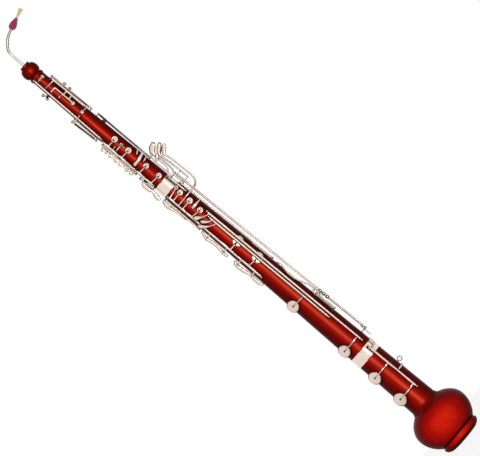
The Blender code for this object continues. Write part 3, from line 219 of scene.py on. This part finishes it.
    def edges(self, reach, dark):
        """Painted shade: dark along the sharp edges of flat plates that face the front or back, like drawn
        outlines.
        """
        soft = self.tree.nodes.new("ShaderNodeBevel")
        soft.samples = 8
        soft.inputs["Radius"].default_value = reach
        surface = self.tree.nodes.new("ShaderNodeNewGeometry")
        bend = self.vectors("DOT_PRODUCT", soft.outputs["Normal"], surface.outputs["Normal"])["Value"]
        facing = self.maths("ABSOLUTE", self.part(surface.outputs["True Normal"], "Y"))
        plate = self.between(facing, 0.95, 0.985)
        away = self.maths("MULTIPLY", plate, self.maths("SUBTRACT", 1.0, bend))
        return self.ramp(self.maths("SUBTRACT", 1.0, away), (0.93, dark), (0.998, (1, 1, 1)))

    def bump(self, value, depth, strength=0.4):
        node = self.tree.nodes.new("ShaderNodeBump")
        node.inputs["Strength"].default_value = strength
        node.inputs["Distance"].default_value = depth
        self.link(value, node.inputs["Height"])
        self.link(node.outputs["Normal"], self.face.inputs["Normal"])

    def set(self, **values):
        for name, value in values.items():
            self.face.inputs[name.replace("_", " ")].default_value = value


def wood_finish():
    """Dark red stain under polish, with grain and fine pores; painted shade darkens it towards the sides and a
    painted highlight brightens it to orange along the front and back.
    """
    s = Shader("red_stained_wood")
    grain = s.noise(s.stretch((130, 130, 4.5)), 3.0, 6.0, 0.62)
    colour = s.ramp(grain, (0.28, (0.46, 0.030, 0.012)), (0.5, (0.62, 0.050, 0.018)),
                    (0.72, (0.74, 0.072, 0.026)))
    pores = s.noise(s.stretch((700, 700, 22)), 2.0, 3.0)
    colour = s.shade(colour, s.ramp(pores, (0.30, (0.50, 0.40, 0.40)), (0.44, (1, 1, 1))), 0.6)
    # Painted shade in the wood's corners and next to the keywork.
    colour = s.shade(colour, s.painted_corner_shade(0.012, (0.22, 0.12, 0.10), (1, 1, 1)), 0.85)
    # Painted shade and highlight: dark towards the sides, brightening to orange along the front and back; narrow
    # on the tube, broad on the bulb.
    front = s.turned_frontness()
    painted_tube_shading = s.ramp(front, (0.20, (0.13, 0.05, 0.07)), (0.66, (0.15, 0.04, 0.07)), (0.87, (0.25, 0.05, 0.09)),
                    (0.965, (0.45, 0.09, 0.12)), (0.990, (0.62, 0.26, 0.28)), (1.0, (1, 1, 1)))
    painted_bulb_shading = s.ramp(front, (0.22, (0.16, 0.05, 0.07)), (0.55, (0.29, 0.05, 0.08)),
                   (0.83, (0.64, 0.08, 0.11)), (1.0, (0.96, 0.28, 0.18)))
    girth = s.vectors("LENGTH", s.from_axis())["Value"]
    colour = s.shade(colour, s.blend(s.between(girth, *BULB_GIRTHS), painted_tube_shading, painted_bulb_shading))
    s.link(colour, s.face.inputs["Base Color"])
    s.link(s.spread(grain, 0.24, 0.30), s.face.inputs["Roughness"])
    s.bump(pores, 0.00012, 0.25)
    s.set(IOR=1.08)
    return s.material


def plated(name, pale, deep, reach=0.006):
    """Polished plate: soft wear in its gloss, with painted shade in the corners, on its thin sides and along its
    plate edges.
    """
    s = Shader(name)
    cloud = s.noise(s.stretch((1, 1, 1)), 90.0, 5.0)
    colour = s.ramp(cloud, (0.30, tuple(c * 0.88 for c in pale)), (0.62, pale))
    # Painted shade: darker in corners and near other parts, on the thin sides and along the plate edges.
    colour = s.shade(colour, s.painted_corner_shade(reach, deep, (1, 1, 1)), 0.9)
    colour = s.shade(colour, s.painted_side_shade(0.80, deep, 0.975))
    colour = s.shade(colour, s.edges(0.0022, deep))
    s.link(colour, s.face.inputs["Base Color"])
    s.link(s.spread(cloud, 0.16, 0.30), s.face.inputs["Roughness"])
    s.bump(s.noise(s.stretch((1, 1, 1)), 1400.0, 2.0), 0.00002, 0.15)
    s.set(Metallic=1.0)
    return s.material


def steel_finish():
    """Turned steel: fine rings round the rods, a little greyer than the plate, with painted shade in corners and
    on the thin sides.
    """
    s = Shader("turned_steel")
    rings = s.bands(s.stretch((1, 1, 1)), 900.0, "Z", 2.0)
    cloud = s.noise(s.stretch((1, 1, 1)), 140.0, 4.0)
    colour = s.ramp(cloud, (0.30, (0.62, 0.51, 0.44)), (0.65, (0.76, 0.63, 0.54)))
    # Painted shade: darker in corners and near other parts, and on the rods' thin sides.
    colour = s.shade(colour, s.painted_corner_shade(0.005, (0.10, 0.075, 0.06), (1, 1, 1)), 0.9)
    colour = s.shade(colour, s.painted_side_shade(0.80, (0.03, 0.018, 0.012), 0.975))
    s.link(colour, s.face.inputs["Base Color"])
    s.link(s.spread(rings, 0.20, 0.32), s.face.inputs["Roughness"])
    s.bump(rings, 0.00002, 0.2)
    s.set(Metallic=1.0)
    return s.material


def cork_finish():
    s = Shader("tenon_cork_sheet")
    grains = s.noise(s.stretch((1, 1, 1)), 420.0, 4.0, 0.7)
    colour = s.ramp(grains, (0.30, (0.20, 0.105, 0.05)), (0.52, (0.50, 0.32, 0.17)), (0.75, (0.66, 0.46, 0.27)))
    s.link(colour, s.face.inputs["Base Color"])
    s.bump(grains, 0.0003, 0.5)
    s.set(Roughness=0.85)
    return s.material


def thread_finish(way):
    """Crimson thread wound side by side round the reed's tube."""
    s = Shader("wound_thread")
    tilt = Vector((0, 0, 1)).rotation_difference(way).inverted().to_euler()
    turns = s.bands(s.stretch((1, 1, 1), tuple(tilt)), 640.0, "Z", 0.4)
    fibre = s.noise(s.stretch((1, 1, 1)), 2600.0, 3.0)
    colour = s.ramp(turns, (0.10, (0.16, 0.004, 0.035)), (0.70, (0.56, 0.014, 0.13)))
    colour = s.shade(colour, s.ramp(fibre, (0.3, (0.7, 0.7, 0.7)), (0.6, (1, 1, 1))), 0.6)
    s.link(colour, s.face.inputs["Base Color"])
    s.bump(turns, 0.0003, 0.7)
    s.set(Roughness=0.55, Sheen_Weight=0.3)
    return s.material


def cane_finish(way):
    """Scraped cane: pale, with fibres along the blades."""
    s = Shader("scraped_cane")
    tilt = Vector((0, 0, 1)).rotation_difference(way).inverted().to_euler()
    fibre = s.noise(s.stretch((900, 900, 26), tuple(tilt)), 1.0, 4.0, 0.6)
    colour = s.ramp(fibre, (0.30, (0.50, 0.34, 0.13)), (0.65, (0.83, 0.67, 0.36)))
    s.link(colour, s.face.inputs["Base Color"])
    s.bump(fibre, 0.0001, 0.4)
    s.set(Roughness=0.6)
    return s.material


def true_normals(mesh, turned):
    """Keeps straight walls straight in the shading, and gives a turned piece the normals of its round surface."""
    ways = []
    for face in mesh.polygons:
        straight = abs(face.normal.z) < STRAIGHT
        flat = Vector((face.normal.x, face.normal.y, 0)).normalized()
        for loop in face.loop_indices:
            corner = Vector(mesh.corner_normals[loop].vector)
            place = mesh.vertices[mesh.loops[loop].vertex_index].co
            level = Vector((corner.x, corner.y, 0)).normalized()
            out = Vector((place.x - AXIS_X, place.y, 0)).normalized()
            side = flat.dot(out)
            near = turned and abs(side) > NEAR_ROUND
            if near:
                level = out * math.copysign(1, side)
            if near or straight:
                rise = face.normal.z if straight else corner.z
                corner = level * math.sqrt(max(0.0, 1 - rise ** 2)) + Vector((0, 0, rise))
            ways.append(corner)
    mesh.normals_split_custom_set(ways)


def rounded(name, material):
    """A copy of a node with its seams welded and its curves shaded smooth, which is shown in its place."""
    bm = bmesh.new()
    bm.from_mesh(NODES[name].data)
    bmesh.ops.remove_doubles(bm, verts=bm.verts, dist=WELD)
    mesh = bpy.data.meshes.new(name + "_shown")
    bm.to_mesh(mesh)
    bm.free()
    mesh.materials.clear()
    mesh.materials.append(material)
    mesh.shade_smooth()
    mesh.set_sharp_from_angle(angle=SHARP)
    true_normals(mesh, name in TURNED_NODES)
    piece = bpy.data.objects.new(name + "_shown", mesh)
    bpy.context.scene.collection.objects.link(piece)
    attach(piece, next(body for body, nodes in BODIES.items() if name in nodes))
    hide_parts(name)


def dress(names, material):
    for name in names:
        if name in NODES:
            rounded(name, material)


REED_WAY = Vector(next(j["axis"] for j in frame["joints"] if j["name"] == "reed_draw")).normalized()
STEEL_NODES = tuple(name for name in NODES if name.endswith("_rod"))
KEY_NODES = tuple(name for name in NODES if name.endswith("_key") or name.endswith("_lever"))
dress(WOOD_NODES, wood_finish())
dress(KEY_NODES, plated("polished_silver", (0.80, 0.64, 0.545), (0.060, 0.030, 0.020)))
dress(STEEL_NODES, steel_finish())
dress(BAND_NODES, plated("polished_band", (0.86, 0.72, 0.62), (0.09, 0.05, 0.035)))
dress(("crook",), plated("crook_plate", (0.66, 0.67, 0.62), (0.10, 0.10, 0.09)))
dress(CORK_NODES, cork_finish())
dress(("reed_binding",), thread_finish(REED_WAY))
dress(("reed_blades",), cane_finish(REED_WAY))


# Floor, backdrop and light
def floor():
    mesh = bpy.data.meshes.new("floor")
    corners = [(FLOOR_HALF * a, FLOOR_HALF * b, 0) for a, b in ((-1, -1), (1, -1), (1, 1), (-1, 1))]
    mesh.from_pydata(corners, [], [(0, 1, 2, 3)])
    plane = bpy.data.objects.new("floor", mesh)
    bpy.context.scene.collection.objects.link(plane)
    s = Shader("pale_floor")
    cloud = s.noise(s.stretch((1, 1, 1)), 3.0)
    s.link(s.ramp(cloud, (0.3, (0.93, 0.93, 0.93)), (0.7, (0.97, 0.97, 0.97))), s.face.inputs["Base Color"])
    s.set(Roughness=0.9)
    shown = s.tree.nodes.new("ShaderNodeEmission")
    mix = s.tree.nodes.new("ShaderNodeMixShader")
    out = next(n for n in s.tree.nodes if n.type == "OUTPUT_MATERIAL")
    seen = s.tree.nodes.new("ShaderNodeLightPath").outputs["Is Camera Ray"]
    s.link(s.maths("MULTIPLY", seen, 0.85), mix.inputs["Fac"])
    s.link(s.face.outputs[0], mix.inputs[1])
    s.link(shown.outputs[0], mix.inputs[2])
    s.link(mix.outputs[0], out.inputs["Surface"])
    mesh.materials.append(s.material)


def backdrop():
    """A white world for the camera and for reflections, and a softer one for lighting."""
    world = bpy.data.worlds.new("studio")
    bpy.context.scene.world = world
    world.use_nodes = True
    tree = world.node_tree
    tree.nodes.clear()
    out = tree.nodes.new("ShaderNodeOutputWorld")
    seen = tree.nodes.new("ShaderNodeBackground")
    light = tree.nodes.new("ShaderNodeBackground")
    mix = tree.nodes.new("ShaderNodeMixShader")
    rays = tree.nodes.new("ShaderNodeLightPath")
    seen.inputs["Color"].default_value = (1, 1, 1, 1)
    seen.inputs["Strength"].default_value = 1.0
    light.inputs["Color"].default_value = (0.95, 0.97, 1, 1)
    light.inputs["Strength"].default_value = 0.20
    total = rays.outputs["Is Camera Ray"]
    for name in ("Is Glossy Ray", "Is Transmission Ray"):
        more = tree.nodes.new("ShaderNodeMath")
        more.operation = "MAXIMUM"
        tree.links.new(total, more.inputs[0])
        tree.links.new(rays.outputs[name], more.inputs[1])
        total = more.outputs[0]
    tree.links.new(total, mix.inputs["Fac"])
    tree.links.new(light.outputs[0], mix.inputs[1])
    tree.links.new(seen.outputs[0], mix.inputs[2])
    tree.links.new(mix.outputs[0], out.inputs["Surface"])


def lamp(name, place, aim, size, power, mirrored=False):
    data = bpy.data.lights.new(name, "AREA")
    data.shape = "RECTANGLE"
    data.size, data.size_y = size
    data.energy = power
    lamp_object = bpy.data.objects.new(name, data)
    lamp_object.location = place
    lamp_object.rotation_mode = "QUATERNION"
    lamp_object.rotation_quaternion = (Vector(aim) - Vector(place)).to_track_quat("-Z", "Y")
    lamp_object.visible_glossy = mirrored
    bpy.context.scene.collection.objects.link(lamp_object)


def camera():
    """Looks along +Y from far off, rolled so that the body lies from upper left to lower right."""
    low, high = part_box("top_joint")
    centre = (low + high) / 2
    middle = Vector((centre.x + SIDE_TO_MIDDLE, centre.y, high.z - CROWN_TO_MIDDLE))
    right = Vector((math.cos(TILT), 0, -math.sin(TILT)))
    up = Vector((math.sin(TILT), 0, math.cos(TILT)))
    data = bpy.data.cameras.new("camera")
    data.sensor_width = SENSOR
    data.lens = SENSOR * VIEW_DISTANCE / VIEW_WIDTH
    data.clip_end = 100
    eye = bpy.data.objects.new("camera", data)
    turn = Matrix((right, up, Vector((0, -1, 0)))).transposed().to_4x4()
    eye.matrix_world = Matrix.Translation(middle - Vector((0, VIEW_DISTANCE, 0))) @ turn
    bpy.context.scene.collection.objects.link(eye)
    bpy.context.scene.camera = eye


floor()
backdrop()
lamp("key_light", (-0.5, -4.4, 1.2), (0, 0, 0.65), (1.8, 1.8), 150)
lamp("strip_light", (1.1, -3.0, 0.66), (0, 0, 0.66), (0.16, 1.7), 9, mirrored=True)
lamp("back_light", (-0.6, 2.6, 2.0), (0, 0, 0.7), (1.2, 1.2), 20)
camera()
bpy.context.scene.view_settings.view_transform = "Standard"
